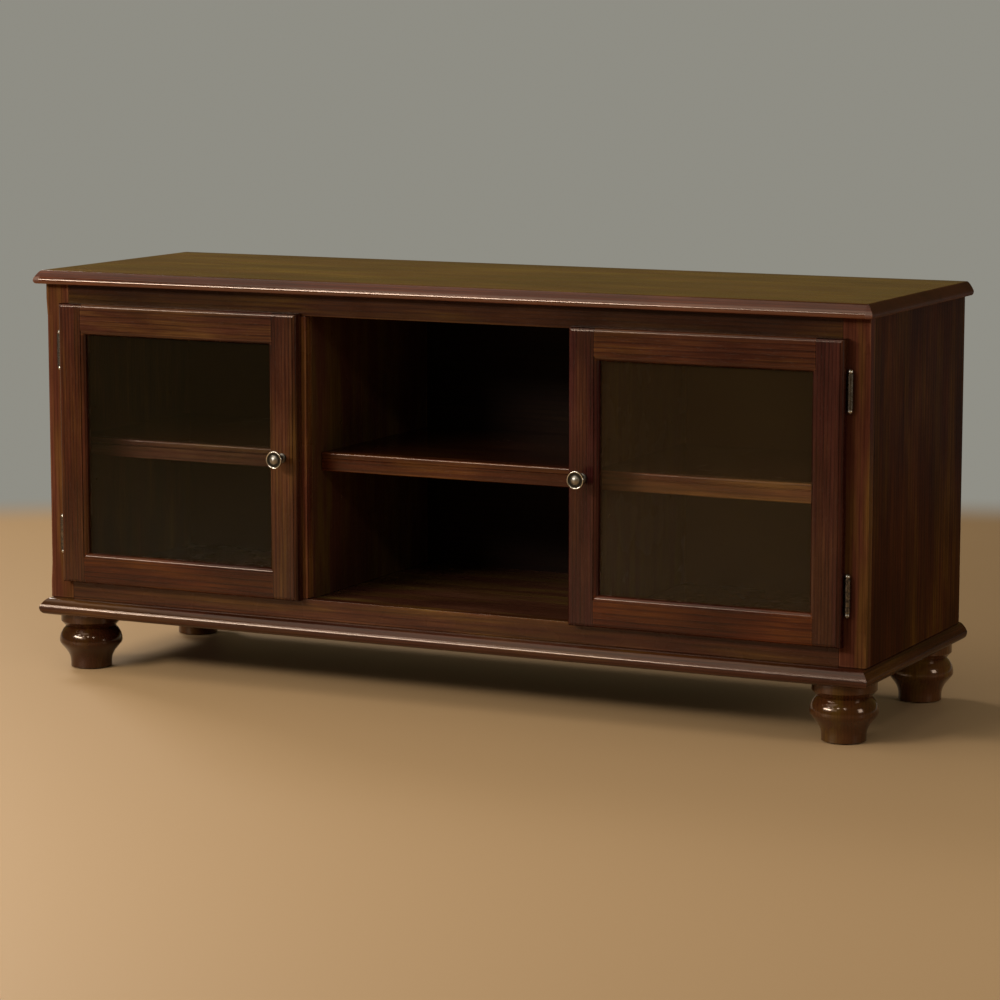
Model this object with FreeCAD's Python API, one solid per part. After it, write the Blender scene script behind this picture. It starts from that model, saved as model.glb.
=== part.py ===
import FreeCAD, Part
import os
from math import asin, cos, sin, sqrt

os.makedirs("parts", exist_ok=True)

# Low television console of stained hardwood: a moulded top and a moulded base frame on four turned feet,
# an open centre bay with a shelf, and a glazed door on each side, hung on exposed barrel hinges.
# Millimetres, +Z up, front towards -Y. The origin is on the floor, at the middle of the overall box.

# Case
overall_height = 699.0
case_width = 1508.0
case_depth = 450.0
panel_thickness = 18.0
back_thickness = 6.0
back_setback = 4.0
bay_width = 484.0
floor_drop = 2.0

# Top and base frame, which share one plan outline
overhang_side = 11.0
overhang_front = 25.0
overhang_rear = 12.0
top_thickness = 23.0
top_nose_run = 12.5
top_nose_drop = 11.0
top_under_run = 4.5
base_thickness = 28.5
base_nose_run = 16.0
base_nose_drop = 11.0
base_under_run = 10.0
lip_run = 2.2
lip_drop = 5.5
lip_slope = 1.7
base_board_width = 97.0

# Face frame
frame_thickness = 20.0
corner_stile_width = 45.0
mid_stile_width = 40.0
top_rail_width = 37.0
bottom_rail_width = 34.5
chamfer_front = 12.0
chamfer_side = 3.2
chamfer_from_top = 27.0
chamfer_from_base = 27.5
tongue_length = 28.0
tongue_step = 0.5

# Parts that hold the top and the back
rear_rail_width = 50.0
rear_rail_thickness = 18.0
cleat_width = 22.0
cleat_height = 25.0
cleat_end_gap = 30.0
top_screw_radius = 2.0
top_screw_head_radius = 4.0
top_screw_head_height = 2.5
top_screw_bite = 12.0
top_screw_end_distance = 60.0
cable_hole_radius = 25.0
cable_hole_below_shelf = 7.0

# Shelves
shelf_thickness = 19.0
shelf_above_floor = 246.0
shelf_setback = 50.0
shelf_end_clearance = 1.0
shelf_rear_clearance = 12.0
nosing_height = 32.0
nosing_thickness = 20.0
nosing_round = 3.0
nosing_groove_depth = 1.5
nosing_groove_drop = 11.0
pin_radius = 2.5
pin_hole_clearance = 0.05
pin_reach = 9.0
pin_web = 2.0
pin_row_front = 120.0
pin_row_rear = 65.0
pin_step = 64.0
pin_steps_each_way = 1

# Feet
foot_height = 98.0
foot_setback_side = 7.0
foot_setback_front = 14.0
foot_setback_rear = 1.0
foot_base_radius = 36.0
foot_ankle_radius = 35.5
foot_ankle_height = 12.0
foot_turn_height = 20.0
foot_bulb_radius = 55.0
foot_bulb_below_neck = 25.5
foot_neck_radius = 43.0
foot_collar_radius = 52.0
foot_collar_thickness = 15.0
foot_collar_flare = 10.0
glide_radius = 26.0
glide_thickness = 2.0
bolt_radius = 4.0
bolt_in_foot = 30.0
bolt_in_base = 18.0

# Doors
door_thickness = 20.0
door_lap_top = 4.5
door_lap_bottom = 2.0
door_lap_hinge = 9.0
door_reveal = 8.0
door_member_flat = 45.0
sticking_width = 8.0
sticking_step = 1.5
sticking_land = 0.5
edge_round = 6.0
edge_step = 1.2
glass_thickness = 4.0
glass_rebate = 9.0
glass_clearance = 1.5
stop_width = 8.0
stop_thickness = 5.0

# Knobs
knob_radius = 15.0
knob_projection = 32.0
knob_rose_radius = 8.0
knob_rose_height = 3.0
knob_rose_curve = 3.0
knob_stem_radius = 5.0
knob_flare_height = 7.0
knob_dome_height = 3.0
knob_rim_width = 2.6
knob_groove_width = 3.4
knob_groove_depth = 2.2
knob_screw_radius = 2.0
knob_screw_bite = 12.0
knob_screw_head_radius = 4.2
knob_screw_head_height = 2.6
knob_screw_hole_clearance = 0.3
counterbore_radius = 5.0
counterbore_depth = 3.5

# Hinges
hinge_inset = 82.0
hinge_length = 56.0
hinge_knuckles = 5
hinge_axis_from_door = 6.0
barrel_stand_off = 0.7
barrel_radius = 5.0
hinge_pin_radius = 2.2
hinge_pin_running_clearance = 0.05
knuckle_gap = 0.3
leaf_thickness = 1.5
leaf_clearance = 0.2
leaf_face_gap = 0.5
leaf_notch_clearance = 0.8
door_leaf_width = 18.0
frame_leaf_wing = 18.0
tip_radius = 4.3
tip_height = 7.0
hinge_screw_radius = 1.5
hinge_screw_length = 13.0
hinge_screw_head_radius = 2.8
hinge_screw_head_height = 1.5
hinge_screw_from_end = 11.0

# Magnetic catches
catch_length = 40.0
catch_height = 13.0
catch_depth = 19.0
catch_from_stile = 18.0
strike_length = 30.0
strike_height = 10.0
strike_thickness = 1.0
catch_clearance = 0.3

# Planes and lines worked out from the sizes above
case_half = case_width / 2
bay_half = bay_width / 2
case_bottom = foot_height + base_thickness
case_top = overall_height - top_thickness
inner_half = case_half - panel_thickness
partition_outer = bay_half + panel_thickness
door_gap = leaf_thickness + leaf_face_gap
front_reach = max(door_gap + door_thickness + knob_projection, overhang_front)
face_y = (front_reach - case_depth - overhang_rear) / 2
case_rear_y = face_y + case_depth
frame_back_y = face_y + frame_thickness
back_face_y = case_rear_y - back_setback - back_thickness
outline_half = case_half + overhang_side
outline_front_y = face_y - overhang_front
outline_rear_y = case_rear_y + overhang_rear
opening_top = case_top - top_rail_width
opening_bottom = case_bottom + bottom_rail_width
stile_inner = case_half - corner_stile_width
bay_floor = opening_bottom - floor_drop
shelf_top = bay_floor + shelf_above_floor
shelf_bottom = shelf_top - shelf_thickness

door_back_y = face_y - door_gap
door_front_y = door_back_y - door_thickness
door_outer = stile_inner + door_lap_hinge
door_inner = bay_half + door_reveal
door_top = opening_top + door_lap_top
door_bottom = opening_bottom - door_lap_bottom
door_member = door_member_flat + sticking_width
glass_front_y = door_front_y + sticking_step + sticking_width + sticking_land
glass_back_y = glass_front_y + glass_thickness
knob_x = door_inner + door_member / 2
knob_z = (door_top + door_bottom) / 2
hinge_x = door_outer + hinge_axis_from_door
hinge_y = face_y - barrel_stand_off - barrel_radius
hinge_heights = (door_bottom + hinge_inset, door_top - hinge_inset)

QUARTER = sqrt(0.5)
ROUND = 4 / 3 * (sqrt(2) - 1)
SAME_POINT = 1e-6
CUT_PAST = 1.0
X_AXIS = FreeCAD.Vector(1, 0, 0)
Z_AXIS = FreeCAD.Vector(0, 0, 1)
ORIGIN = FreeCAD.Vector(0, 0, 0)


def vec(x, y, z):
    return FreeCAD.Vector(x, y, z)


def box(x0, x1, y0, y1, z0, z1):
    return Part.makeBox(x1 - x0, y1 - y0, z1 - z0, vec(x0, y0, z0))


def rod(radius, start, axis, length):
    return Part.makeCylinder(radius, length, start, axis)


def quarter(start, end, leaves):
    """Step of a quarter ellipse from start to end that leaves start across (along a) or up (along b)."""
    (a0, b0), (a1, b1) = start, end
    if leaves == "across":
        return (a0 + ROUND * (a1 - a0), b0, a1, b1 - ROUND * (b1 - b0), a1, b1)
    return (a0, b0 + ROUND * (b1 - b0), a1 - ROUND * (a1 - a0), b1, a1, b1)


def step_edges(steps, place):
    """Edges along steps in a plane: a point is a line to it, four numbers are an arc through the first
    point to the second, and six numbers are a curve with two handles and then its end."""
    edges = []
    here = place(*steps[0])
    for step in steps[1:]:
        there = place(*step[-2:])
        if len(step) == 6:
            curve = Part.BezierCurve()
            curve.setPoles([here, place(*step[:2]), place(*step[2:4]), there])
            edges.append(curve.toShape())
        elif len(step) == 4:
            edges.append(Part.Arc(here, place(*step[:2]), there).toShape())
        elif (there - here).Length > SAME_POINT:
            edges.append(Part.LineSegment(here, there).toShape())
        here = there
    return edges


def outline_face(steps, place):
    return Part.Face(Part.Wire(step_edges(steps + steps[:1], place)))


def prism_x(steps, x0, x1):
    return outline_face(steps, lambda y, z: vec(x0, y, z)).extrude(vec(x1 - x0, 0, 0))


def prism_y(steps, y0, y1):
    return outline_face(steps, lambda x, z: vec(x, y0, z)).extrude(vec(0, y1 - y0, 0))


def prism_z(steps, z0, z1):
    return outline_face(steps, lambda x, y: vec(x, y, z0)).extrude(vec(0, 0, z1 - z0))


def turned(steps, base, axis):
    """Solid of revolution: steps are (radius, height) along axis from base."""
    solid = outline_face(steps, lambda r, h: vec(r, 0, h)).revolve(ORIGIN, Z_AXIS, 360)
    solid.Placement = FreeCAD.Placement(base, FreeCAD.Rotation(Z_AXIS, axis))
    return solid


def mirrored(shape):
    return shape.mirror(ORIGIN, X_AXIS)


def both_sides(shapes):
    return list(shapes) + [mirrored(shape) for shape in shapes]


def save(node, *solids):
    shape = solids[0] if len(solids) == 1 else Part.makeCompound(list(solids))
    shape.exportStep("parts/" + node + ".step")


def cut_all(shape, tools):
    return shape.cut(Part.makeCompound(list(tools))) if tools else shape


# Moulded boards: the top and the base frame
def bend(start, corner, end):
    """Step of a smooth curve from start to end that heads for corner at both ends."""
    handles = [2 / 3 * c + 1 / 3 * p for point in (start, end) for c, p in zip(corner, point)]
    return tuple(handles) + end


def nose_steps(outer, z0, thickness, nose_run, nose_drop, under_run):
    """Edge that curves down from the flat top to a lip, turns over it and runs under to the flat bottom."""
    top = z0 + thickness
    brow = (outer + nose_run, top)
    lip = (outer + lip_run, top - nose_drop)
    nose = (outer, lip[1] - lip_drop)
    chin = (outer + under_run, z0)
    return [
        brow,
        bend(brow, (lip[0] + nose_drop / lip_slope, top), lip),
        bend(lip, (outer, lip[1] - lip_run * lip_slope), nose),
        quarter(nose, chin, "up"),
    ]


def moulded_slab(z0, thickness, nose_run, nose_drop, under_run):
    """Board over the shared outline, moulded at the front and both ends, square at the rear."""
    steps = nose_steps(0, z0, thickness, nose_run, nose_drop, under_run)
    corners = [
        lambda inset, z: vec(inset - outline_half, outline_rear_y, z),
        lambda inset, z: vec(inset - outline_half, outline_front_y + inset, z),
        lambda inset, z: vec(outline_half - inset, outline_front_y + inset, z),
        lambda inset, z: vec(outline_half - inset, outline_rear_y, z),
    ]
    noses = [step_edges(steps, corner) for corner in corners]
    faces = []
    for nose, next_nose in zip(noses, noses[1:]):
        faces += [Part.makeRuledSurface(edge, next_edge) for edge, next_edge in zip(nose, next_nose)]
    rims = []
    for step in (steps[0], steps[-1]):
        rim = [corner(*step[-2:]) for corner in corners]
        faces.append(Part.Face(Part.makePolygon(rim + rim[:1])))
        rims.append(Part.makeLine(rim[-1], rim[0]))
    rear = noses[0] + rims + noses[-1]
    faces.append(Part.Face(Part.Wire(Part.__sortEdges__(rear))))
    shell = Part.makeShell(faces)
    shell.sewShape()
    return Part.makeSolid(shell)


def base_boards():
    """Moulded boards mitred at the front corners, and a square rail between the ends at the rear."""
    z0, z1 = foot_height, case_bottom
    edge = (z0, base_thickness, base_nose_run, base_nose_drop, base_under_run)
    inner_x = base_board_width - outline_half
    inner_front = outline_front_y + base_board_width
    inner_rear = outline_rear_y - base_board_width
    front_plan = [
        (-outline_half, outline_front_y),
        (outline_half, outline_front_y),
        (-inner_x, inner_front),
        (inner_x, inner_front),
    ]
    left_plan = [
        (-outline_half, outline_front_y),
        (inner_x, inner_front),
        (inner_x, outline_rear_y),
        (-outline_half, outline_rear_y),
    ]
    front_steps = nose_steps(outline_front_y, *edge) + [(inner_front, z0), (inner_front, z1)]
    left_steps = nose_steps(-outline_half, *edge) + [(inner_x, z0), (inner_x, z1)]
    front = prism_x(front_steps, -outline_half, outline_half).common(prism_z(front_plan, z0, z1))
    left = prism_y(left_steps, outline_front_y, outline_rear_y).common(prism_z(left_plan, z0, z1))
    holes = [rod(bolt_radius, vec(x, y, z0), Z_AXIS, bolt_in_base) for x, y in foot_places.values()]
    left = cut_all(left, holes)
    save("base_moulding_front", front)
    save("base_moulding_left", left)
    save("base_moulding_right", mirrored(left))
    save("base_rail_rear", box(inner_x, -inner_x, inner_rear, outline_rear_y, z0, z1))


# Feet
foot_x = outline_half - foot_setback_side - foot_bulb_radius
foot_front_y = outline_front_y + foot_setback_front + foot_bulb_radius
foot_rear_y = outline_rear_y - foot_setback_rear - foot_bulb_radius
foot_places = {
    "front_left": (-foot_x, foot_front_y),
    "front_right": (foot_x, foot_front_y),
    "rear_left": (-foot_x, foot_rear_y),
    "rear_right": (foot_x, foot_rear_y),
}


def feet():
    collar_z = foot_height - foot_collar_thickness
    neck_z = collar_z - foot_collar_flare
    bulb_z = neck_z - foot_bulb_below_neck
    bulb = (foot_bulb_radius, bulb_z)
    neck = (foot_neck_radius, neck_z)
    neck_depth = foot_bulb_radius - foot_neck_radius
    shoulder_radius = (neck_depth ** 2 + foot_bulb_below_neck ** 2) / (2 * neck_depth)
    half_angle = asin(foot_bulb_below_neck / shoulder_radius) / 2
    shoulder_inset = shoulder_radius * (1 - cos(half_angle))
    shoulder = (foot_bulb_radius - shoulder_inset, bulb_z + shoulder_radius * sin(half_angle))
    profile = [
        (0, glide_thickness),
        (foot_base_radius, glide_thickness),
        (foot_ankle_radius, foot_ankle_height),
        (foot_ankle_radius, foot_turn_height, foot_bulb_radius, foot_turn_height) + bulb,
        shoulder + neck,
        (foot_collar_radius, collar_z),
        (foot_collar_radius, foot_height),
        (0, foot_height),
    ]
    bolts = []
    glides = []
    for name, (x, y) in foot_places.items():
        start = vec(x, y, foot_height - bolt_in_foot)
        foot = turned(profile, vec(x, y, 0), Z_AXIS)
        foot = foot.cut(rod(bolt_radius, start, Z_AXIS, bolt_in_foot))
        save("foot_" + name, foot)
        bolts.append(rod(bolt_radius, start, Z_AXIS, bolt_in_foot + bolt_in_base))
        glides.append(rod(glide_radius, vec(x, y, 0), Z_AXIS, glide_thickness))
    save("foot_bolts", *bolts)
    save("foot_glides", *glides)


# Case panels
pin_z = shelf_bottom - pin_radius
pin_rows_y = (face_y + pin_row_front, back_face_y - pin_row_rear)
pin_depth = (panel_thickness - pin_web) / 2


def pin_holes(wall_x, into):
    """Rows of shelf-pin holes in a wall face at wall_x, drilled towards into, which is +1 or -1."""
    levels = [pin_z + step * pin_step for step in range(-pin_steps_each_way, pin_steps_each_way + 1)]
    radius = pin_radius + pin_hole_clearance
    axis = vec(into, 0, 0)
    return [rod(radius, vec(wall_x, y, z), axis, pin_depth) for y in pin_rows_y for z in levels]


def case_panels():
    side = box(inner_half, case_half, frame_back_y, case_rear_y, case_bottom, case_top)
    side = cut_all(side, pin_holes(inner_half, 1))
    save("side_panel_right", side)
    save("side_panel_left", mirrored(side))
    partition = box(bay_half, partition_outer, frame_back_y, back_face_y, bay_floor, case_top)
    partition = cut_all(partition, pin_holes(bay_half, 1) + pin_holes(partition_outer, -1))
    save("partition_right", partition)
    save("partition_left", mirrored(partition))
    floor_bottom = bay_floor - panel_thickness
    save("bottom_panel", box(-inner_half, inner_half, frame_back_y, back_face_y, floor_bottom, bay_floor))
    back = box(-inner_half, inner_half, back_face_y, back_face_y + back_thickness, case_bottom, case_top)
    hole_z = shelf_bottom - cable_hole_below_shelf - cable_hole_radius
    bay_centre = (partition_outer + inner_half) / 2
    places = [vec(x, back_face_y, hole_z) for x in (-bay_centre, 0, bay_centre)]
    holes = [rod(cable_hole_radius, place, vec(0, 1, 0), back_thickness) for place in places]
    save("back_panel", cut_all(back, holes))


def top_and_holders():
    """The top, the cleats and screws that hold it down, and the rails behind it that carry the back."""
    rail_front_y = back_face_y - rear_rail_thickness
    rail_z = case_top - rear_rail_width
    spans = ((-inner_half, -partition_outer), (-bay_half, bay_half), (partition_outer, inner_half))
    save("rear_top_rails", *[box(x0, x1, rail_front_y, back_face_y, rail_z, case_top) for x0, x1 in spans])
    cleat_front_y = frame_back_y + cleat_end_gap
    cleat_rear_y = rail_front_y - cleat_end_gap
    cleat_z = case_top - cleat_height
    cleats = []
    screws = []
    screw_holes = []
    shank_length = cleat_height + top_screw_bite
    half_width = cleat_width / 2
    for x in (inner_half - half_width, partition_outer + half_width):
        x0, x1 = x - half_width, x + half_width
        cleats.append(box(x0, x1, cleat_front_y, cleat_rear_y, cleat_z, case_top))
        for y in (cleat_front_y + top_screw_end_distance, cleat_rear_y - top_screw_end_distance):
            start = vec(x, y, cleat_z)
            shank = rod(top_screw_radius, start, Z_AXIS, shank_length)
            head = rod(top_screw_head_radius, start, -Z_AXIS, top_screw_head_height)
            screws.append(shank.fuse(head))
            screw_holes.append(shank)
    screw_holes = both_sides(screw_holes)
    save("top_cleats", *[cut_all(cleat, screw_holes) for cleat in both_sides(cleats)])
    save("top_screws", *both_sides(screws))
    top = moulded_slab(case_top, top_thickness, top_nose_run, top_nose_drop, top_under_run)
    save("top_panel", cut_all(top, screw_holes))


# Face frame
def corner_chamfer():
    """Tool for the stopped chamfer on the right-hand front corner, with a stepped tongue at each end."""
    slant = sqrt(chamfer_front ** 2 + chamfer_side ** 2)
    depth = chamfer_front * chamfer_side / slant
    tongue_depth = depth - tongue_step
    top = case_top - chamfer_from_top
    low = case_bottom + chamfer_from_base
    steps = [
        (depth, low),
        (0, low),
        (-tongue_depth, low + tongue_length),
        (-depth, low + tongue_length),
        (-depth, top - tongue_length),
        (-tongue_depth, top - tongue_length),
        (0, top),
        (depth, top),
    ]
    half_width = 2 * slant
    outward = vec(chamfer_side, -chamfer_front, 0) / slant
    sideways = vec(chamfer_front, chamfer_side, 0) / slant
    corner = vec(case_half, face_y, 0)

    def place(out, z):
        return corner + outward * out + vec(0, 0, z) - sideways * half_width

    return outline_face(steps, place).extrude(sideways * (2 * half_width))


def face_frame(frame_screw_shanks):
    stile = box(stile_inner, case_half, face_y, frame_back_y, case_bottom, case_top)
    stile = stile.cut(corner_chamfer())
    stile = cut_all(stile, frame_screw_shanks)
    save("corner_stile_right", stile)
    save("corner_stile_left", mirrored(stile))
    mid = box(bay_half, bay_half + mid_stile_width, face_y, frame_back_y, opening_bottom, opening_top)
    save("mid_stile_right", mid)
    save("mid_stile_left", mirrored(mid))
    save("top_rail", box(-stile_inner, stile_inner, face_y, frame_back_y, opening_top, case_top))
    save("bottom_rail", box(-stile_inner, stile_inner, face_y, frame_back_y, case_bottom, opening_bottom))


# Shelves
def nosing_profile():
    front = face_y + shelf_setback
    rear = front + nosing_thickness
    low = shelf_top - nosing_height
    groove = shelf_top - nosing_groove_drop
    brow = (front + nosing_round, shelf_top)
    chin = (front, low + nosing_round)
    return [
        (rear, low),
        (rear, shelf_top),
        brow,
        quarter(brow, (front, shelf_top - nosing_round), "across"),
        (front, groove + nosing_groove_depth),
        (front + nosing_groove_depth, groove),
        (front, groove - nosing_groove_depth),
        chin,
        quarter(chin, (front + nosing_round, low), "up"),
    ]


def shelves():
    board_front = face_y + shelf_setback + nosing_thickness
    board_rear = back_face_y - shelf_rear_clearance
    spans = {
        "left": (-inner_half, -partition_outer),
        "centre": (-bay_half, bay_half),
        "right": (partition_outer, inner_half),
    }
    pins = []
    length = pin_depth + pin_reach
    for name, (wall0, wall1) in spans.items():
        x0 = wall0 + shelf_end_clearance
        x1 = wall1 - shelf_end_clearance
        save("shelf_" + name, box(x0, x1, board_front, board_rear, shelf_bottom, shelf_top))
        save("shelf_nosing_" + name, prism_x(nosing_profile(), x0, x1))
        for y in pin_rows_y:
            pins.append(rod(pin_radius, vec(wall0 - pin_depth, y, pin_z), X_AXIS, length))
            pins.append(rod(pin_radius, vec(wall1 + pin_depth, y, pin_z), -X_AXIS, length))
    save("shelf_pins", *pins)


# Doors: built for the right-hand side and mirrored for the left
def door_edge_steps(low, high):
    """Door section across its width or height: square back, stepped and rounded front edges."""
    step_y = door_front_y + edge_step
    side_y = step_y + edge_round
    corner = edge_round * (1 - QUARTER)
    return [
        (low, door_back_y),
        (high, door_back_y),
        (high, side_y),
        (high - corner, step_y + corner, high - edge_round, step_y),
        (high - edge_round, door_front_y),
        (low + edge_round, door_front_y),
        (low + edge_round, step_y),
        (low + corner, step_y + corner, low, side_y),
    ]


def window_steps(low, high):
    """Section of the glazed opening: stepped ovolo at the front, rebate for the glass at the back."""
    front = door_front_y - CUT_PAST
    rear = door_back_y + CUT_PAST
    step_y = door_front_y + sticking_step
    ovolo_y = step_y + sticking_width
    flat0, flat1 = low + door_member_flat, high - door_member_flat
    sight0, sight1 = low + door_member, high - door_member
    rebate0, rebate1 = sight0 - glass_rebate, sight1 + glass_rebate
    bulge = sticking_width * QUARTER
    dip = sticking_width * (1 - QUARTER)
    return [
        (flat0, front),
        (flat1, front),
        (flat1, step_y),
        (flat1 - bulge, step_y + dip, sight1, ovolo_y),
        (sight1, glass_front_y),
        (rebate1, glass_front_y),
        (rebate1, rear),
        (rebate0, rear),
        (rebate0, glass_front_y),
        (sight0, glass_front_y),
        (sight0, ovolo_y),
        (flat0 + bulge, step_y + dip, flat0, step_y),
    ]


def section_solid(steps_of):
    """Solid whose section is the same profile across the door's width and across its height."""
    across = prism_z(steps_of(door_inner, door_outer), door_bottom, door_top)
    upright = outline_face(steps_of(door_bottom, door_top), lambda z, y: vec(door_inner, y, z))
    return across.common(upright.extrude(vec(door_outer - door_inner, 0, 0)))


def door_frame(hinge_mortises, hinge_screw_shanks):
    frame = section_solid(door_edge_steps).cut(section_solid(window_steps))
    y0, y1 = door_front_y - CUT_PAST, door_back_y + CUT_PAST
    flat0, flat1 = door_inner + door_member_flat, door_outer - door_member_flat
    sight0, sight1 = door_inner + door_member, door_outer - door_member
    rail_low, rail_high = door_bottom + door_member, door_top - door_member
    lock = box(door_inner, flat0, y0, y1, door_bottom, door_top)
    lock = lock.fuse(box(flat0, sight0, y0, y1, rail_low, rail_high))
    hang = box(flat1, door_outer, y0, y1, door_bottom, door_top)
    hang = hang.fuse(box(sight1, flat1, y0, y1, rail_low, rail_high))
    into_front = vec(0, -1, 0)
    knob_back = vec(knob_x, door_back_y, knob_z)
    bore = rod(knob_screw_radius + knob_screw_hole_clearance, knob_back, into_front, door_thickness)
    counterbore = rod(counterbore_radius, knob_back, into_front, counterbore_depth)
    return {
        "lock_stile": cut_all(frame.common(lock), [bore, counterbore]),
        "hinge_stile": cut_all(frame.common(hang), list(hinge_mortises) + list(hinge_screw_shanks)),
        "top_rail": frame.common(box(flat0, flat1, y0, y1, rail_high, door_top)),
        "bottom_rail": frame.common(box(flat0, flat1, y0, y1, door_bottom, rail_low)),
    }


def door_glazing():
    x0, x1 = door_inner + door_member - glass_rebate, door_outer - door_member + glass_rebate
    z0, z1 = door_bottom + door_member - glass_rebate, door_top - door_member + glass_rebate
    gap = glass_clearance
    glass = box(x0 + gap, x1 - gap, glass_front_y, glass_back_y, z0 + gap, z1 - gap)
    y0, y1 = glass_back_y, glass_back_y + stop_thickness
    stops = [
        box(x0, x1, y0, y1, z0, z0 + stop_width),
        box(x0, x1, y0, y1, z1 - stop_width, z1),
        box(x0, x0 + stop_width, y0, y1, z0 + stop_width, z1 - stop_width),
        box(x1 - stop_width, x1, y0, y1, z0 + stop_width, z1 - stop_width),
    ]
    return glass, stops


def knob_and_screw():
    """Turned knob with a rim, a groove and a domed middle, held by a screw from behind the stile."""
    rim_z = knob_projection - knob_dome_height
    rim_half = knob_rim_width / 2
    groove_r = knob_radius - knob_rim_width
    groove_z = rim_z - knob_groove_depth
    flare_z = rim_z - knob_rim_width
    dome_edge_r = groove_r - knob_groove_width
    dome_height = knob_projection - groove_z
    dome_radius = (dome_edge_r ** 2 + dome_height ** 2) / (2 * dome_height)
    dome_mid_r = dome_edge_r / 2
    dome_mid_z = knob_projection - dome_radius + sqrt(dome_radius ** 2 - dome_mid_r ** 2)
    rose_edge = (knob_rose_radius, knob_rose_height)
    stem_foot = (knob_stem_radius, knob_rose_height + knob_rose_curve)
    stem_head = (knob_stem_radius, flare_z - knob_flare_height)
    rim_low = (knob_radius, flare_z)
    rim_top = (knob_radius - rim_half, rim_z)
    rim_inner = (groove_r, rim_z - rim_half)
    profile = [
        (0, 0),
        (knob_rose_radius, 0),
        rose_edge,
        quarter(rose_edge, stem_foot, "across"),
        stem_head,
        quarter(stem_head, rim_low, "up"),
        quarter(rim_low, rim_top, "up"),
        quarter(rim_top, rim_inner, "across"),
        (groove_r, groove_z),
        (dome_edge_r, groove_z),
        (dome_mid_r, dome_mid_z, 0, knob_projection),
    ]
    out = vec(0, -1, 0)
    seat = vec(knob_x, door_front_y, knob_z)
    knob = turned(profile, seat, out).cut(rod(knob_screw_radius, seat, out, knob_screw_bite))
    head_y = door_back_y - counterbore_depth
    head = rod(knob_screw_head_radius, vec(knob_x, head_y, knob_z), vec(0, 1, 0), knob_screw_head_height)
    shank_length = door_thickness - counterbore_depth + knob_screw_bite
    shank = rod(knob_screw_radius, vec(knob_x, head_y, knob_z), out, shank_length)
    return knob, head.fuse(shank)


# Hinges: one leaf lies in the back of the door, the other laps the face and the edge of the corner stile
def hinge_parts(z):
    half = hinge_length / 2
    knuckle_pitch = hinge_length / hinge_knuckles
    knuckle_length = knuckle_pitch - knuckle_gap
    notch_x = hinge_x - barrel_radius - leaf_notch_clearance

    def with_knuckles(leaf, first, y0, y1, bore):
        """Leaf with every second knuckle from first, each rolled from a strip between y0 and y1."""
        for index in range(first, hinge_knuckles, 2):
            z0 = z - half + index * knuckle_pitch + knuckle_gap / 2
            start = vec(hinge_x, hinge_y, z0)
            strip = box(notch_x, hinge_x, y0, y1, z0, z0 + knuckle_length)
            leaf = leaf.fuse([strip, rod(barrel_radius, start, Z_AXIS, knuckle_length)])
            leaf = leaf.cut(rod(bore, start, Z_AXIS, knuckle_length))
        return leaf

    leaf_y0 = door_back_y - leaf_thickness
    leaf_x0 = door_outer - door_leaf_width
    door_leaf = box(leaf_x0, notch_x, leaf_y0, door_back_y, z - half, z + half)
    running_radius = hinge_pin_radius + hinge_pin_running_clearance
    door_leaf = with_knuckles(door_leaf, 1, leaf_y0, door_back_y, running_radius)
    mortise = box(leaf_x0 - leaf_clearance, door_outer, leaf_y0, door_back_y,
                  z - half - leaf_clearance, z + half + leaf_clearance)

    wing_x0 = stile_inner - leaf_thickness
    lap_y0 = face_y - leaf_thickness
    frame_leaf = box(wing_x0, notch_x, lap_y0, face_y, z - half, z + half)
    wing = box(wing_x0, stile_inner, lap_y0, face_y + frame_leaf_wing, z - half, z + half)
    frame_leaf = with_knuckles(frame_leaf.fuse(wing), 0, lap_y0, face_y, hinge_pin_radius)

    ball_z = half + tip_height - tip_radius
    ball_start = sqrt(tip_radius ** 2 - (tip_height - tip_radius) ** 2)
    pin_profile = [
        (0, -half - tip_height),
        (tip_radius, -ball_z, ball_start, -half),
        (hinge_pin_radius, -half),
        (hinge_pin_radius, half),
        (ball_start, half),
        (tip_radius, ball_z, 0, half + tip_height),
    ]
    pin = turned(pin_profile, vec(hinge_x, hinge_y, z), Z_AXIS)

    door_screws = []
    door_shanks = []
    frame_screws = []
    frame_shanks = []
    screw_x = leaf_x0 + door_leaf_width / 2
    wing_y = face_y + frame_leaf_wing / 2
    head_rise = hinge_screw_head_height
    for screw_z in (z - half + hinge_screw_from_end, z + half - hinge_screw_from_end):
        start = vec(screw_x, door_back_y, screw_z)
        shank = rod(hinge_screw_radius, start, vec(0, -1, 0), hinge_screw_length)
        head = rod(hinge_screw_head_radius, start, vec(0, -1, 0), leaf_thickness)
        door_shanks.append(shank)
        door_screws.append(shank.fuse(head))
        start = vec(wing_x0, wing_y, screw_z)
        shank = rod(hinge_screw_radius, start, X_AXIS, hinge_screw_length)
        head = rod(hinge_screw_head_radius, start, -X_AXIS, head_rise)
        frame_shanks.append(shank)
        frame_screws.append(shank.fuse(head))
    door_leaf = cut_all(door_leaf, door_screws)
    frame_leaf = cut_all(frame_leaf, frame_shanks)
    return {
        "door_leaf": door_leaf,
        "mortise": mortise,
        "frame_leaf": frame_leaf,
        "pin": pin,
        "door_screws": door_screws,
        "door_shanks": door_shanks,
        "frame_screws": frame_screws,
        "frame_shanks": frame_shanks,
    }


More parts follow.
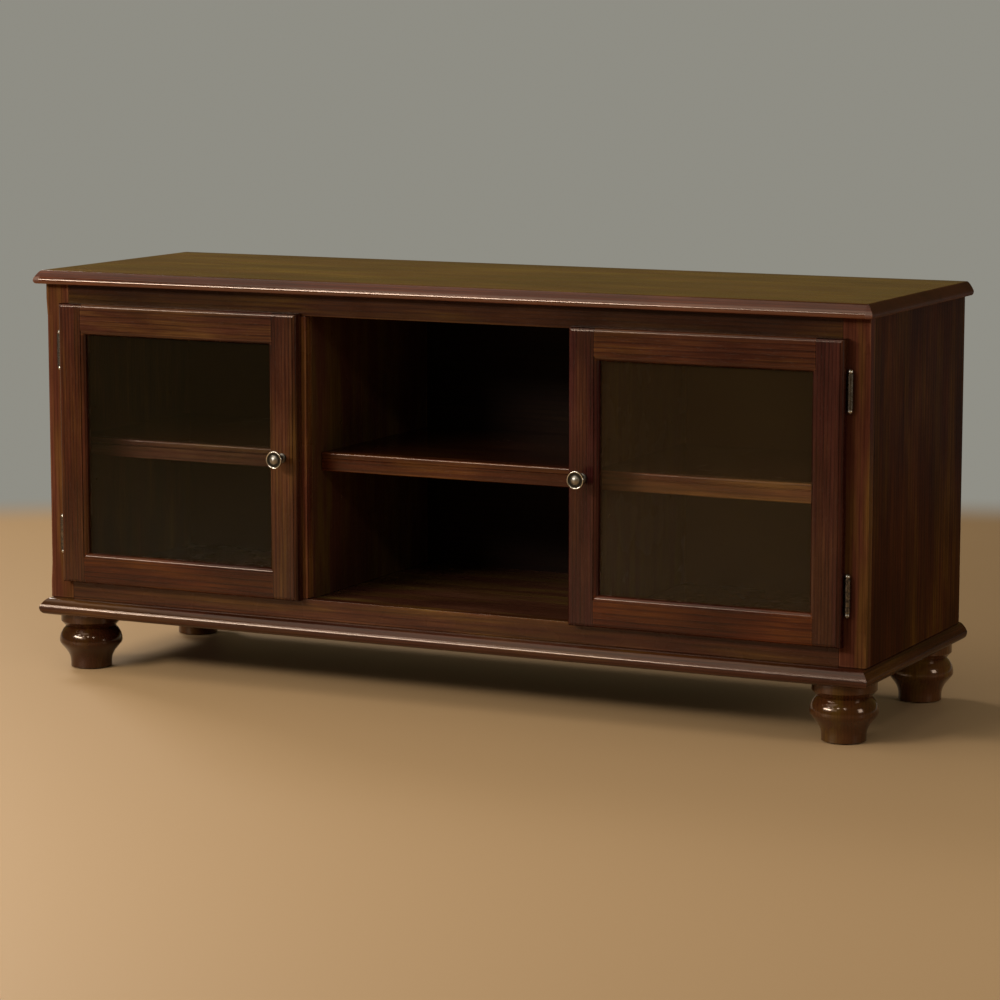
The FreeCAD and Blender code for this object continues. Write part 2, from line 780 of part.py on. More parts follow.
def catch_and_strike():
    """Magnetic catch under the top rail and the steel plate that meets it on the door's back."""
    x0 = bay_half + mid_stile_width + catch_from_stile
    front = door_back_y + strike_thickness + catch_clearance
    body = box(x0, x0 + catch_length, front, front + catch_depth, opening_top - catch_height, opening_top)
    middle_x = x0 + catch_length / 2
    middle_z = opening_top - catch_height / 2
    plate = box(middle_x - strike_length / 2, middle_x + strike_length / 2, door_back_y,
                door_back_y + strike_thickness, middle_z - strike_height / 2, middle_z + strike_height / 2)
    return body, plate


def save_door_pair(name, *solids):
    save("right_" + name, *solids)
    save("left_" + name, *[mirrored(solid) for solid in solids])


hinges = [hinge_parts(z) for z in hinge_heights]
door_hinge_shanks = [shank for hinge in hinges for shank in hinge["door_shanks"]]
frame_hinge_shanks = [shank for hinge in hinges for shank in hinge["frame_shanks"]]

base_boards()
feet()
case_panels()
top_and_holders()
face_frame(frame_hinge_shanks)
shelves()

for member, solid in door_frame([hinge["mortise"] for hinge in hinges], door_hinge_shanks).items():
    save_door_pair("door_" + member, solid)
pane, beads = door_glazing()
save_door_pair("door_glass", pane)
save_door_pair("door_glass_stops", *beads)
knob, knob_screw = knob_and_screw()
save_door_pair("knob", knob)
save_door_pair("knob_screw", knob_screw)
save_door_pair("door_hinge_leaves", *[hinge["door_leaf"] for hinge in hinges])
save_door_pair("door_hinge_screws", *[screw for hinge in hinges for screw in hinge["door_screws"]])
catch, strike = catch_and_strike()
save_door_pair("strike_plate", strike)
save("catch_bodies", *both_sides([catch]))
save("hinge_frame_leaves", *both_sides([hinge["frame_leaf"] for hinge in hinges]))
save("hinge_pins", *both_sides([hinge["pin"] for hinge in hinges]))
save("hinge_frame_screws", *both_sides([screw for hinge in hinges for screw in hinge["frame_screws"]]))
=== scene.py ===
import bpy
import math
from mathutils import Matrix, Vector


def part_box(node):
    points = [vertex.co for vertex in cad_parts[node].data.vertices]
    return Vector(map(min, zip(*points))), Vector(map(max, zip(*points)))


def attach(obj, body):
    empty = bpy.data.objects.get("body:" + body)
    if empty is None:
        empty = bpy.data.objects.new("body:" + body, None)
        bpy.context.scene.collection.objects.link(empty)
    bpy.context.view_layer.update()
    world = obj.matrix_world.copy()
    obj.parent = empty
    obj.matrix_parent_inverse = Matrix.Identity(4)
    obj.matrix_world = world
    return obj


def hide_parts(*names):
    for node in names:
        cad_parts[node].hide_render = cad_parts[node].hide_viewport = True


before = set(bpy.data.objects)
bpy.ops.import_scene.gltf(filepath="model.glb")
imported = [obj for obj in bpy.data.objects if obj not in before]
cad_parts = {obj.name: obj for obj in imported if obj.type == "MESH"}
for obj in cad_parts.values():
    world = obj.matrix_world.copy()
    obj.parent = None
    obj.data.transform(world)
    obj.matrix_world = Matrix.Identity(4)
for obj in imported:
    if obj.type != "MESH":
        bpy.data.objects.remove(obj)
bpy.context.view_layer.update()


# Base frame: three moulded boards of stained hardwood, mitred at the front corners, and a square rail between
# their rear ends. The case stands on it, and it is glued and screwed up into the case from below.
def add_node(tree, kind, inputs=None, **settings):
    made = tree.nodes.new(kind)
    for key, value in settings.items():
        setattr(made, key, value)
    for socket, value in (inputs or {}).items():
        if isinstance(value, bpy.types.NodeSocket):
            tree.links.new(value, made.inputs[socket])
        else:
            made.inputs[socket].default_value = value
    return made


def maths(tree, operation, a, b=0.0, c=0.0, clamp=False):
    made = add_node(tree, "ShaderNodeMath", {0: a, 1: b, 2: c}, operation=operation, use_clamp=clamp)
    return made.outputs[0]


def vector_maths(tree, operation, a, b=(0.0, 0.0, 0.0)):
    made = add_node(tree, "ShaderNodeVectorMath", {0: a, 1: b}, operation=operation)
    return made.outputs["Value" if operation == "LENGTH" else "Vector"]


def split(tree, vector):
    return add_node(tree, "ShaderNodeSeparateXYZ", {0: vector}).outputs


def place_on_piece(tree):
    return add_node(tree, "ShaderNodeTexCoord").outputs["Object"]


def fade(tree, value, low, high, at_low=0.0, at_high=1.0):
    """Eases from one level to another while value runs from low to high."""
    ramp = add_node(tree, "ShaderNodeMapRange", {0: value, 1: low, 2: high, 3: at_low, 4: at_high},
                    interpolation_type="SMOOTHSTEP")
    return ramp.outputs[0]


def noise(tree, vector, scale=1.0, detail=2.0, roughness=0.5):
    made = add_node(tree, "ShaderNodeTexNoise", {"Vector": vector, "Scale": scale, "Detail": detail,
                                                 "Roughness": roughness})
    return made.outputs[0]


def colour_mix(tree, factor, first, second):
    made = add_node(tree, "ShaderNodeMix", {0: factor, 6: first, 7: second}, data_type="RGBA")
    return made.outputs[2]


def new_material(name):
    material = bpy.data.materials.new(name)
    material.use_nodes = True
    tree = material.node_tree
    tree.nodes.clear()
    out = add_node(tree, "ShaderNodeOutputMaterial")
    shader = add_node(tree, "ShaderNodeBsdfPrincipled")
    tree.links.new(shader.outputs[0], out.inputs[0])
    return material, tree, shader


def dress(node, material):
    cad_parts[node].data.materials.clear()
    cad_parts[node].data.materials.append(material)


STAIN = ((0.0, (0.0065, 0.0016, 0.0007)), (0.38, (0.0258, 0.0060, 0.0024)),
         (0.60, (0.0425, 0.0105, 0.0041)), (1.0, (0.100, 0.032, 0.0118)))
AMBER = (1.32, 1.90, 1.0)
LACQUER_TINT = (1.0, 0.76, 0.6, 1)
GRAIN_ORDER = {"X": (0, 1, 2), "Y": (1, 0, 2), "Z": (2, 0, 1)}
PLANK_STEP = (0.37, 0.113, 0.071)
# Length along the grain and width across it.
RING, STREAK, FIBRE = (0.8, 0.036), (0.16, 0.0042), (0.05, 0.0011)
PORE, BLOTCH, AMBER_PATCH = (0.016, 0.0009), (0.24, 0.07), (0.3, 0.032)
# How much each lightens or darkens the stain.
LATE_WOOD_TONE, STREAK_TONE, FIBRE_TONE, BLOTCH_TONE, PORE_TONE = -0.20, 0.52, 0.46, 0.86, -0.15
MEAN_TONE, MEAN_FIGURE = 0.49, 0.83
# Arrises are lightened: partly rubbed wear, partly a painted highlight along the edges.
WEAR_AND_HIGHLIGHT_FROM, WEAR_AND_HIGHLIGHT_TO, WEAR_AND_HIGHLIGHT_UNEVEN = -0.0012, 0.0022, -0.004
JOINT_FROM, JOINT_TO, JOINT_TONE = 0.0004, 0.0020, -0.6
RELIEF_STRENGTH, RELIEF_DEPTH = 0.035, 0.0006
ROUGHNESS_SPREAD, END_GRAIN_ROUGHNESS = 0.12, 0.4
REAR_BLEND = 0.0005


def toned(stain, tone):
    return tuple((position, tuple(a * b for a, b in zip(colour, tone))) for position, colour in stain)


def stain_ramp(tree, tone, stain):
    ramp = add_node(tree, "ShaderNodeValToRGB", {0: tone})
    stops = ramp.color_ramp.elements
    stops.remove(stops[1])
    for i, (position, colour) in enumerate(stain):
        stop = stops[0] if i == 0 else stops.new(position)
        stop.position = position
        stop.color = (*colour, 1)
    return ramp.outputs[0]


def stained_wood(name, node, grain, plank, stain=STAIN, gloss=0.27, shine=0.3, figure=1.0, wear=0.16,
                 joints=True, rim=None, rear=None, dull_ends=0.0):
    """Lacquered hardwood whose rings, fibres and pores run through the board along one axis."""
    material, tree, shader = new_material(name)
    place = place_on_piece(tree)
    parts = split(tree, place)
    along, across, through = GRAIN_ORDER[grain]
    board = add_node(tree, "ShaderNodeCombineXYZ", {0: parts[along], 1: parts[across], 2: parts[through]})
    board = vector_maths(tree, "ADD", board.outputs[0], tuple(step * plank for step in PLANK_STEP))

    def stretched(length, width):
        return vector_maths(tree, "MULTIPLY", board, (1 / length, 1 / width, 1 / width))

    rings = add_node(tree, "ShaderNodeTexWave",
                     {"Vector": stretched(*RING), "Scale": 2.1, "Distortion": 6.5, "Detail": 2.5,
                      "Detail Scale": 0.45, "Detail Roughness": 0.6},
                     wave_type="RINGS", rings_direction="X", wave_profile="SAW").outputs[1]
    late_wood = fade(tree, rings, 0.55, 1.0)
    streaks = noise(tree, stretched(*STREAK), detail=4.0, roughness=0.6)
    fibres = noise(tree, stretched(*FIBRE), detail=3.0, roughness=0.6)
    pores = fade(tree, noise(tree, stretched(*PORE), detail=1.0), 0.6, 0.72)
    blotches = noise(tree, stretched(*BLOTCH), detail=3.0, roughness=0.55)
    tone = maths(tree, "MULTIPLY", late_wood, LATE_WOOD_TONE * figure)
    for layer, depth in ((streaks, STREAK_TONE), (fibres, FIBRE_TONE), (blotches, BLOTCH_TONE),
                         (pores, PORE_TONE)):
        tone = maths(tree, "MULTIPLY_ADD", layer, depth * figure, tone)
    tone = maths(tree, "ADD", tone, MEAN_TONE - MEAN_FIGURE * figure)

    low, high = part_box(node)
    above = vector_maths(tree, "SUBTRACT", place, low)
    below = vector_maths(tree, "SUBTRACT", high, place)
    sides = split(tree, vector_maths(tree, "MINIMUM", above, below))
    nearer = maths(tree, "MINIMUM", sides[0], sides[1])
    farther = maths(tree, "MAXIMUM", sides[0], sides[1])
    from_arris = maths(tree, "MAXIMUM", nearer, maths(tree, "MINIMUM", farther, sides[2]))
    # Painted highlight and wear: the tone is lightened within a few millimetres of each arris.
    uneven = maths(tree, "MULTIPLY_ADD", streaks, WEAR_AND_HIGHLIGHT_UNEVEN, from_arris)
    tone = maths(tree, "ADD", tone, fade(tree, uneven, WEAR_AND_HIGHLIGHT_FROM, WEAR_AND_HIGHLIGHT_TO, wear, 0.0))
    if joints:
        tone = maths(tree, "ADD", tone, fade(tree, sides[along], JOINT_FROM, JOINT_TO, JOINT_TONE, 0.0))

    amber = fade(tree, noise(tree, stretched(*AMBER_PATCH), detail=3.0, roughness=0.55), 0.42, 0.66)
    colour = colour_mix(tree, amber, stain_ramp(tree, tone, stain),
                        stain_ramp(tree, tone, toned(stain, AMBER)))
    shader.inputs["Specular IOR Level"].default_value = shine
    if rim:
        width, rim_stain, rim_shine = rim
        inner = fade(tree, nearer, 0.7 * width, width)
        colour = colour_mix(tree, inner, stain_ramp(tree, tone, rim_stain), colour)
        polish = fade(tree, sides[1], 0.12 * width, 0.25 * width, rim_shine, shine)
        tree.links.new(polish, shader.inputs["Specular IOR Level"])
    # Where rear is given, the rear half of the board takes that stain instead of the front's.
    if rear:
        middle = (low[1] + high[1]) / 2
        behind = fade(tree, parts[1], middle - REAR_BLEND, middle + REAR_BLEND)
        colour = colour_mix(tree, behind, colour, stain_ramp(tree, tone, rear))
    smears = noise(tree, place, 9.0, 3.0, 0.6)
    rough = maths(tree, "MULTIPLY_ADD", smears, ROUGHNESS_SPREAD, gloss - ROUGHNESS_SPREAD / 2)
    rough = maths(tree, "MULTIPLY_ADD", pores, ROUGHNESS_SPREAD, rough)
    if dull_ends:
        end_grain = fade(tree, sides[along], 0.8 * dull_ends, dull_ends, END_GRAIN_ROUGHNESS, 0.0)
        rough = maths(tree, "ADD", rough, end_grain)
    relief = maths(tree, "MULTIPLY_ADD", pores, -0.3, maths(tree, "MULTIPLY", streaks, 0.4))
    bump = add_node(tree, "ShaderNodeBump", {"Strength": RELIEF_STRENGTH, "Distance": RELIEF_DEPTH,
                                             "Height": relief}).outputs[0]
    tree.links.new(colour, shader.inputs["Base Color"])
    tree.links.new(rough, shader.inputs["Roughness"])
    tree.links.new(bump, shader.inputs["Normal"])
    shader.inputs["Specular Tint"].default_value = LACQUER_TINT
    return material


ONE_SKIN = 0.00002
ARRIS_ANGLE = math.radians(40)


def finish_board(node, grain, plank, arris=0.0, **wood):
    """Gives a solid board its own piece of wood, and eases its square edges by sanding."""
    dress(node, stained_wood(node + "_wood", node, grain, plank, **wood))
    if arris:
        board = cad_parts[node]
        weld = board.modifiers.new("one skin", "WELD")
        weld.merge_threshold = ONE_SKIN
        eased = board.modifiers.new("eased edges", "BEVEL")
        eased.width = arris
        eased.segments = 2
        eased.limit_method = "ANGLE"
        eased.angle_limit = ARRIS_ANGLE
        eased.harden_normals = True


finish_board("base_moulding_front", "X", 1, gloss=0.18, shine=0.45)
finish_board("base_moulding_left", "Y", 2, gloss=0.18, shine=0.45)
finish_board("base_moulding_right", "Y", 3, gloss=0.22, shine=0.04)
# Painted shade: the rails and cleats inside and under the case take a much darker stain than the rest.
SHADED_INNER_STAIN = toned(STAIN, (0.3, 0.3, 0.34))
finish_board("base_rail_rear", "X", 4, arris=0.001, stain=SHADED_INNER_STAIN, gloss=0.45, shine=0.1)

# Feet: four buns turned from solid hardwood, stained and lacquered as the case. The bulb runs down to the
# ankle in one S-curve. Each is drawn up to the base frame by a steel hanger bolt and stands on a nylon glide.
# Painted light: each foot's tone is set to how lit it looks, and the rear right foot is much lighter to offset
# its shade.
FOOT_TONES_WITH_PAINTED_LIGHT = {"front_left": (0.7, 0.75, 0.66), "front_right": (1.3, 1.7, 1.25),
              "rear_left": (1.4, 1.9, 1.3), "rear_right": (2.2, 3.0, 2.3)}
ANKLE_RADIUS, BULB_RADIUS, NECK_RADIUS, COLLAR_RADIUS = 0.036, 0.055, 0.043, 0.052
ANKLE_HEIGHT, BULB_HEIGHT, NECK_HEIGHT, COLLAR_HEIGHT = 0.010, 0.0475, 0.073, 0.083
LOW_TURN, HIGH_TURN = 0.030, 0.0395
CURVE_STEPS = 16
FOOT_SIDES = 96
FOOT_ARRIS = math.radians(35)


def foot_profile(bottom, top):
    """Radius and height from the floor up: ankle, S-curve to the bulb, round shoulder, neck, flared collar."""
    outline = [(ANKLE_RADIUS, bottom)]
    for step in range(CURVE_STEPS + 1):
        t = step / CURVE_STEPS
        low_end, high_end = (1 - t) ** 3, t ** 3
        low_pull, high_pull = 3 * t * (1 - t) ** 2, 3 * t ** 2 * (1 - t)
        radius = ANKLE_RADIUS * (low_end + low_pull) + BULB_RADIUS * (high_pull + high_end)
        height = (ANKLE_HEIGHT * low_end + LOW_TURN * low_pull + HIGH_TURN * high_pull
                  + BULB_HEIGHT * high_end)
        outline.append((radius, height))
    drop, rise = BULB_RADIUS - NECK_RADIUS, NECK_HEIGHT - BULB_HEIGHT
    shoulder = (drop ** 2 + rise ** 2) / (2 * drop)
    for step in range(1, CURVE_STEPS + 1):
        angle = math.asin(rise / shoulder) * step / CURVE_STEPS
        outline.append((BULB_RADIUS - shoulder * (1 - math.cos(angle)),
                        BULB_HEIGHT + shoulder * math.sin(angle)))
    return outline + [(COLLAR_RADIUS, COLLAR_HEIGHT), (COLLAR_RADIUS, top)]


def turned_foot(name, low, high):
    x, y = (low[0] + high[0]) / 2, (low[1] + high[1]) / 2
    angles = [2 * math.pi * side / FOOT_SIDES for side in range(FOOT_SIDES)]
    points = [(x + radius * math.cos(angle), y + radius * math.sin(angle), z)
              for radius, z in foot_profile(low[2], high[2]) for angle in angles]
    faces = []
    for ring in range(0, len(points) - FOOT_SIDES, FOOT_SIDES):
        above = ring + FOOT_SIDES
        for side in range(FOOT_SIDES):
            following = (side + 1) % FOOT_SIDES
            faces.append((ring + side, ring + following, above + following, above + side))
    faces.append(range(FOOT_SIDES - 1, -1, -1))
    faces.append(range(len(points) - FOOT_SIDES, len(points)))
    mesh = bpy.data.meshes.new(name)
    mesh.from_pydata(points, [], faces)
    mesh.shade_smooth()
    mesh.set_sharp_from_angle(angle=FOOT_ARRIS)
    foot = bpy.data.objects.new(name, mesh)
    bpy.context.scene.collection.objects.link(foot)
    return foot


for turn, (corner, tone) in enumerate(FOOT_TONES_WITH_PAINTED_LIGHT.items()):
    node = "foot_" + corner
    foot = turned_foot("turned_" + node, *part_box(node))
    wood = stained_wood(node + "_wood", node, "Z", 11 + turn, stain=toned(STAIN, tone), gloss=0.12,
                        shine=0.55, figure=0.5, joints=False)
    foot.data.materials.append(wood)
    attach(foot, "case")
    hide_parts(node)

# Case panels: sides, partitions and floor of stained board, and a thin back let in behind them. They are
# dowelled and glued; the rails behind the top keep the back straight.
for turn, side in enumerate(("left", "right")):
    finish_board("side_panel_" + side, "Z", 21 + turn, arris=0.0008, stain=toned(STAIN, (1.02, 0.94, 0.42)),
                 gloss=0.4, shine=0.012)
    finish_board("partition_" + side, "Z", 23 + turn, stain=toned(STAIN, (1.9, 2.8, 3.4)), shine=0.03,
                 figure=0.4)
finish_board("bottom_panel", "X", 25, stain=toned(STAIN, (1.4, 1.95, 2.4)), shine=0.05)
# Painted shade: the back's inner face is stained nearly black; its outer face takes the rear stain.
finish_board("back_panel", "X", 26, stain=toned(STAIN, (0.16, 0.16, 0.2)), gloss=0.5, shine=0.1,
             joints=False, rear=toned(STAIN, (2.2, 3.0, 3.2)))
finish_board("rear_top_rails", "X", 27, stain=SHADED_INNER_STAIN, gloss=0.45, shine=0.1)

# Face frame: stiles and rails of solid hardwood, dowelled flush and glued to the front edges of the panels.
# The corner stiles carry a stopped chamfer.
for turn, side in enumerate(("left", "right")):
    finish_board("corner_stile_" + side, "Z", 38 + turn, stain=toned(STAIN, (1.9, 2.3, 2.9)), shine=0.008,
                 figure=0.7)
    # Painted light: the mid stiles are stained much lighter to offset the shade between door and bay.
    finish_board("mid_stile_" + side, "Z", 33 + turn, arris=0.0012, stain=toned(STAIN, (2.8, 3.2, 3.8)),
                 wear=0.05)
# Painted shade: the top rail is stained darker, standing for the shadow under the top's overhang.
finish_board("top_rail", "X", 35, arris=0.0008, stain=toned(STAIN, (0.62, 0.66, 0.45)), shine=0.2)
finish_board("bottom_rail", "X", 36, arris=0.0008, stain=toned(STAIN, (1.2, 1.3, 1.3)))

# Shelves: a board in each bay with a deeper grooved nosing glued along its front edge. Each lies loose on
# four steel pins pushed into the side walls of its bay.
# Painted light: the nosings behind the glass are stained lighter, the right one most, to offset the shade of
# their bays.
NOSING_TONES_WITH_PAINTED_LIGHT = {"left": (1.3, 1.65, 2.5), "centre": (1.05, 0.9, 0.72), "right": (2.7, 2.9, 3.3)}
for turn, (bay, tone) in enumerate(NOSING_TONES_WITH_PAINTED_LIGHT.items()):
    # Painted light: the shelf boards are stained dark as painted shade of their bays, and their edges get
    # strong lightening as painted highlight lines.
    finish_board("shelf_" + bay, "X", 41 + turn, arris=0.0008, stain=toned(STAIN, (0.45, 0.45, 0.5)),
                 gloss=0.14, shine=0.35, wear=1.2)
    finish_board("shelf_nosing_" + bay, "X", 44 + turn, stain=toned(STAIN, tone), gloss=0.2, shine=0.4)

# Top: one wide board with a rounded nose at the front and both ends. It is held from below by screws through
# cleats glued to the walls of the side bays.
NOSE_WIDTH, NOSE_SHINE = 0.013, 0.9
NOSE_STAIN = toned(STAIN, (1.2, 0.9, 0.75))
# Partly painted light: the flat of the top takes a lighter golden stain standing for the warm reflection on
# it; the nose keeps the plainer rim stain.
finish_board("top_panel", "X", 51, stain=toned(STAIN, (2.0, 2.65, 1.3)), gloss=0.17, shine=0.38,
             joints=False, rim=(NOSE_WIDTH, NOSE_STAIN, NOSE_SHINE), dull_ends=0.0135)
finish_board("top_cleats", "Y", 52, stain=SHADED_INNER_STAIN, gloss=0.45, shine=0.1)

# Doors: two stiles and two rails of solid hardwood around a pane of clear glass, moulded round the pane and
# round the outside. Beads pinned into the rebate behind hold the glass.
DOOR_GRAINS = {"lock_stile": "Z", "hinge_stile": "Z", "top_rail": "X", "bottom_rail": "X"}
# Partly painted light: each member's tone is partly the wood's own variation and partly matched to how lit it
# looks; the bottom rails are darkened against the floor's reflection.
DOOR_TONES_WITH_PAINTED_LIGHT = {"left": ((0.81, 0.84, 0.9), (0.85, 0.75, 0.82), (0.9, 0.9, 1.08), (0.70, 0.45, 0.2)),
              "right": ((0.68, 0.52, 1.05), (0.58, 0.45, 0.76), (0.76, 0.65, 0.6), (0.86, 0.52, 0.28))}
for plank, (hand, tones) in zip((61, 71), DOOR_TONES_WITH_PAINTED_LIGHT.items()):
    for step, (member, grain) in enumerate(DOOR_GRAINS.items()):
        finish_board(hand + "_door_" + member, grain, plank + step, stain=toned(STAIN, tones[step]),
                     gloss=0.2, shine=0.35, figure=1.35)
    finish_board(hand + "_door_glass_stops", "Z", plank + 5, joints=False)


def clear_glass(name, clean, dusty):
    """A pane with a thin film, a little thicker and duller where it was not wiped."""
    material, tree, shader = new_material(name)
    wiped = noise(tree, place_on_piece(tree), 3.0, 3.0)
    tree.links.new(fade(tree, wiped, 0.45, 0.8, 0.0, 0.05), shader.inputs["Roughness"])
    film = colour_mix(tree, fade(tree, wiped, 0.4, 0.75), (*clean, 1), (*dusty, 1))
    tree.links.new(film, shader.inputs["Base Color"])
    shader.inputs["Alpha"].default_value = 0.16
    shader.inputs["IOR"].default_value = 1.5
    shader.inputs["Specular IOR Level"].default_value = 0.35
    return material


# Painted light: the film colour differs per door, dark on the left pane and lighter and warmer on the right,
# standing for the light seen in each pane.
dress("left_door_glass", clear_glass("left_door_pane", (0.025, 0.0175, 0.0075), (0.034, 0.024, 0.0105)))
dress("right_door_glass", clear_glass("right_door_pane", (0.065, 0.038, 0.0157), (0.078, 0.048, 0.0187)))

# Knobs: turned brass, nickel plated and left to age, with a bright rim, a dark groove and a domed middle. A
# screw from behind the stile holds each one.
KNOB_BRIGHT, KNOB_DULL = (0.72, 0.67, 0.58), (0.03, 0.025, 0.018)
RIM_FROM, RIM_TO = 0.0122, 0.0130
DOME_FROM, DOME_TO, DOME_POLISH = 0.0060, 0.0092, 0.4
NECK_FROM, NECK_TO, NECK_POLISH = 0.0055, 0.0075, 0.35


def aged_nickel(name, bright, dull, knob=None):
    """Plate that is dull where it tarnished; on a knob it stays bright on the rim and the dome."""
    material, tree, shader = new_material(name)
    place = place_on_piece(tree)
    tarnish = noise(tree, place, 260.0, 5.0, 0.65)
    clean = fade(tree, tarnish, 0.36, 0.68)
    if knob:
        low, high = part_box(knob)
        parts = split(tree, place)
        aside = maths(tree, "SUBTRACT", parts[0], (low[0] + high[0]) / 2)
        upward = maths(tree, "SUBTRACT", parts[2], (low[2] + high[2]) / 2)
        square = maths(tree, "ADD", maths(tree, "MULTIPLY", aside, aside),
                       maths(tree, "MULTIPLY", upward, upward))
        radius = maths(tree, "SQRT", square)
        rim = fade(tree, radius, RIM_FROM, RIM_TO)
        dome = fade(tree, radius, DOME_FROM, DOME_TO, DOME_POLISH, 0.0)
        polish = maths(tree, "ADD", rim, dome, clamp=True)
        neck = fade(tree, parts[1], low[1] + NECK_FROM, low[1] + NECK_TO, 1.0, NECK_POLISH)
        polish = maths(tree, "MULTIPLY", polish, neck)
        clean = maths(tree, "MULTIPLY", polish, fade(tree, tarnish, 0.25, 0.6, 0.72, 1.0))
    tree.links.new(colour_mix(tree, clean, (*dull, 1), (*bright, 1)), shader.inputs["Base Color"])
    tree.links.new(fade(tree, clean, 0.0, 1.0, 0.45, 0.17), shader.inputs["Roughness"])
    shader.inputs["Metallic"].default_value = 1.0
    return material


for knob in ("left_knob", "right_knob"):
    dress(knob, aged_nickel(knob + "_nickel", KNOB_BRIGHT, KNOB_DULL, knob))

# Hinges: stamped leaves rolled round a pin with ball tips, of the same aged plate but darker.
# One leaf is let into the back of the door, the other wraps the edge of the corner stile. Screws hold both.
HINGE_METAL = aged_nickel("hinge_nickel", (0.20, 0.17, 0.135), (0.05, 0.04, 0.03))
for node in ("hinge_frame_leaves", "left_door_hinge_leaves", "right_door_hinge_leaves"):
    dress(node, HINGE_METAL)
dress("hinge_pins", aged_nickel("hinge_pin_nickel", (0.62, 0.58, 0.5), (0.2, 0.18, 0.15)))

# Screws, bolts, shelf pins and strike plates: zinc-plated steel, bare and a little dull. Most of them sit
# inside the joints they hold.
SCREW_STEEL = aged_nickel("plain_steel", (0.6, 0.6, 0.58), (0.4, 0.4, 0.39))
for node in ("foot_bolts", "top_screws", "shelf_pins", "hinge_frame_screws", "left_door_hinge_screws",
             "right_door_hinge_screws", "left_knob_screw", "right_knob_screw", "left_strike_plate",
             "right_strike_plate"):
    dress(node, SCREW_STEEL)


# Catches and glides: moulded plastic. The catches are screwed up under the top rail, and a glide is nailed
# under each foot.
def moulded_plastic(name, colour):
    material, tree, shader = new_material(name)
    grains = noise(tree, place_on_piece(tree), 900.0)
    light = tuple(1.4 * part for part in colour)
    tree.links.new(colour_mix(tree, grains, (*colour, 1), (*light, 1)), shader.inputs["Base Color"])
    tree.links.new(fade(tree, grains, 0.3, 0.7, 0.4, 0.55), shader.inputs["Roughness"])
    return material


dress("catch_bodies", moulded_plastic("catch_plastic", (0.03, 0.014, 0.008)))
dress("foot_glides", moulded_plastic("glide_plastic", (0.02, 0.018, 0.016)))

# Set: a pale floor that runs into a grey backdrop, soft lamps over a dim room, and the camera where the
# photograph was taken.
BACKDROP = (0.275, 0.269, 0.233)
ROOM = (0.12, 0.083, 0.024)
ROOM_HEIGHT = 0.05
FILL, FILL_LEVEL = (0.95, 0.92, 0.88, 1), 0.2
FLOOR, SHADED_FLOOR_EDGE = (0.455, 0.285, 0.135), (0.25, 0.156, 0.074)
FLOOR_RADIUS, FLOOR_ROUGHNESS = 40, 0.55
EDGE_FROM, EDGE_TO = 1.9, 3.4
FLOOR_MIDDLE = (-1.8, 3.67, 0)
WALL_FROM, WALL_TO = 5.98, 6.43
WALL_SIDE_FROM, WALL_SIDE_TO = -1.5, 0.0
FAR_FROM, FAR_TO = 6.0, 9.0


def background_rays(tree):
    rays = add_node(tree, "ShaderNodeLightPath").outputs
    seen = maths(tree, "ADD", rays["Is Camera Ray"], rays["Is Glossy Ray"])
    return maths(tree, "ADD", seen, rays["Is Transmission Ray"], clamp=True)


bpy.ops.mesh.primitive_circle_add(vertices=128, radius=FLOOR_RADIUS, fill_type="NGON", location=(0, 0, 0))
floor = bpy.context.object
floor.name = "floor"
material, tree, shader = new_material("pale_floor")
place = place_on_piece(tree)
from_middle = vector_maths(tree, "LENGTH", vector_maths(tree, "ADD", place, FLOOR_MIDDLE))
from_console = vector_maths(tree, "LENGTH", place)
behind = fade(tree, split(tree, place)[1], WALL_SIDE_FROM, WALL_SIDE_TO)
wall_foot = maths(tree, "MULTIPLY", fade(tree, from_middle, WALL_FROM, WALL_TO), behind)
far = maths(tree, "MAXIMUM", wall_foot, fade(tree, from_console, FAR_FROM, FAR_TO))
far = maths(tree, "MULTIPLY", far, background_rays(tree))
# Painted shade: the floor colour darkens away from the console, a painted falloff of the lamps' light.
tint = colour_mix(tree, fade(tree, from_console, EDGE_FROM, EDGE_TO), (*FLOOR, 1), (*SHADED_FLOOR_EDGE, 1))
tree.links.new(tint, shader.inputs["Base Color"])
shader.inputs["Roughness"].default_value = FLOOR_ROUGHNESS
glow = add_node(tree, "ShaderNodeEmission", {0: (*BACKDROP, 1)})
both = add_node(tree, "ShaderNodeMixShader", {0: far, 1: shader.outputs[0], 2: glow.outputs[0]})
tree.links.new(both.outputs[0], tree.nodes["Material Output"].inputs[0])
floor.data.materials.append(material)

world = bpy.data.worlds.new("studio")
bpy.context.scene.world = world
world.use_nodes = True
tree = world.node_tree
tree.nodes.clear()
towards = add_node(tree, "ShaderNodeTexCoord").outputs["Generated"]
upward = fade(tree, split(tree, towards)[2], 0.0, ROOM_HEIGHT)
wall_colour = colour_mix(tree, upward, (*BACKDROP, 1), (*ROOM, 1))
fill = add_node(tree, "ShaderNodeBackground", {0: FILL, 1: FILL_LEVEL}).outputs[0]
wall = add_node(tree, "ShaderNodeBackground", {0: wall_colour, 1: 1.0}).outputs[0]
both = add_node(tree, "ShaderNodeMixShader", {0: background_rays(tree), 1: fill, 2: wall})
tree.links.new(both.outputs[0], add_node(tree, "ShaderNodeOutputWorld").inputs[0])

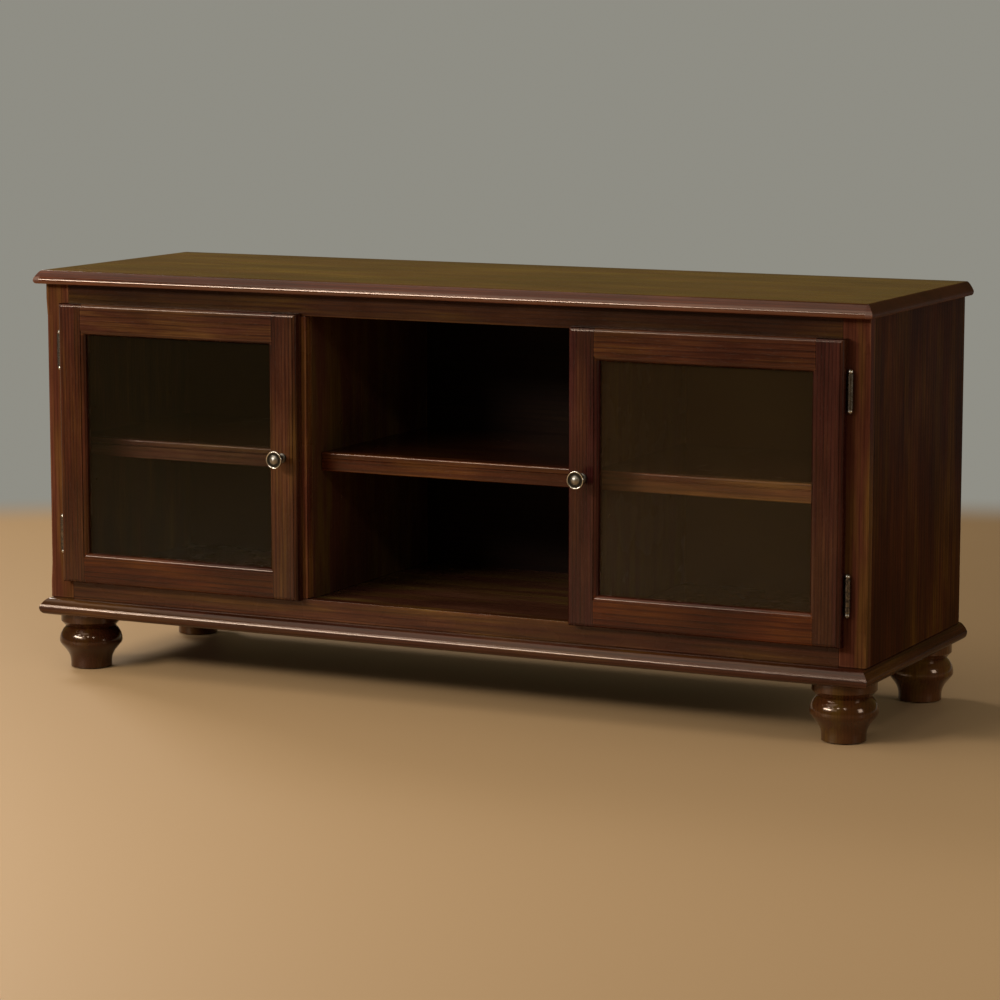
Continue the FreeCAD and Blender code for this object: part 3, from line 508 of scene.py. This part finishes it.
WARM, PALE = (1, 0.95, 0.88), (1, 0.96, 0.9)
SPOTS = ((-1.9, -3.0, 2.7), (-0.8, -3.6, 2.5), (0.5, -3.6, 2.8), (2.0, -3.2, 2.6))


def soft_lamp(name, place, aim, size, power, colour):
    lamp = bpy.data.lights.new(name, "AREA")
    lamp.shape = "RECTANGLE"
    lamp.size, lamp.size_y = size
    lamp.energy = power
    lamp.color = colour
    held = bpy.data.objects.new(name, lamp)
    held.location = place
    held.rotation_euler = (Vector(aim) - Vector(place)).to_track_quat("-Z", "Y").to_euler()
    bpy.context.scene.collection.objects.link(held)


soft_lamp("overhead_lamp", (-1.1, -1.0, 3.1), (0, -0.1, 0.4), (3.4, 2.4), 34, WARM)
soft_lamp("left_front_lamp", (-1.85, -3.0, 1.78), (-0.1, -0.2, 0.5), (1.9, 0.35), 90, WARM)
soft_lamp("right_lamp", (2.9, -0.6, 0.9), (0.7, 0, 0.3), (0.6, 0.6), 8, WARM)
soft_lamp("rear_lamp", (-3.4, 1.6, 2.8), (0, 0, 0.3), (1.2, 1.2), 65, PALE)
soft_lamp("front_lamp", (-1.4, -4.2, 2.2), (-0.1, 0, 0.4), (3.2, 0.7), 10, (1, 0.95, 0.9))
for number, spot in enumerate(SPOTS, 1):
    soft_lamp("spot_%d" % number, spot, (0, 0, 0.3), (0.35, 0.25), 6, PALE)

AZIMUTH, ELEVATION, REACH = math.radians(26.131), math.radians(8.296), 5.8836
LOOK_AT = Vector((0.0128, 0.012, 0.3178))
SENSOR_WIDTH, LENS = 36.0, 124.56
camera = bpy.data.objects.new("camera", bpy.data.cameras.new("camera"))
camera.data.sensor_width = SENSOR_WIDTH
camera.data.lens = LENS
back = Vector((math.sin(AZIMUTH) * math.cos(ELEVATION), -math.cos(AZIMUTH) * math.cos(ELEVATION),
               math.sin(ELEVATION)))
camera.location = LOOK_AT + REACH * back
camera.rotation_euler = back.to_track_quat("Z", "Y").to_euler()
bpy.context.scene.collection.objects.link(camera)
bpy.context.scene.camera = camera
bpy.context.scene.view_settings.view_transform = "Standard"
